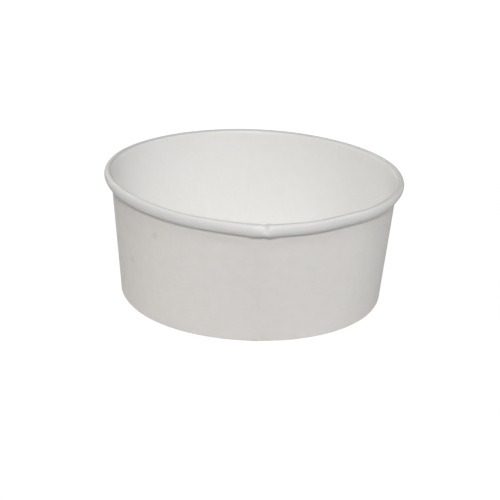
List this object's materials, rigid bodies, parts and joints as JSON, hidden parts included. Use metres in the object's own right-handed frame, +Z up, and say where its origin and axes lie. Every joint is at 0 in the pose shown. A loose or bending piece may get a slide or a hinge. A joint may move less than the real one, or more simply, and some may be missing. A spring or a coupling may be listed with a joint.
{
  "type": "paper food container",
  "caption": "Round white paper bowl: a gently tapered wall with a lap seam and a rolled rim, on a recessed flat bottom held in the wall's folded foot.",
  "frame": {"origin": "middle of the foot, on the table that the bowl stands on", "axes": "+Z up along the bowl's axis, out of its mouth; -Y towards the wall's lap seam"},
  "size_m": [0.15, 0.15, 0.062],
  "materials": {
    "wall_board": "matte",
    "bottom_board": "matte"
  },
  "bodies": {
    "root": {"side_wall": "wall_board", "bottom_disc": "bottom_board"}
  },
  "joints": []
}
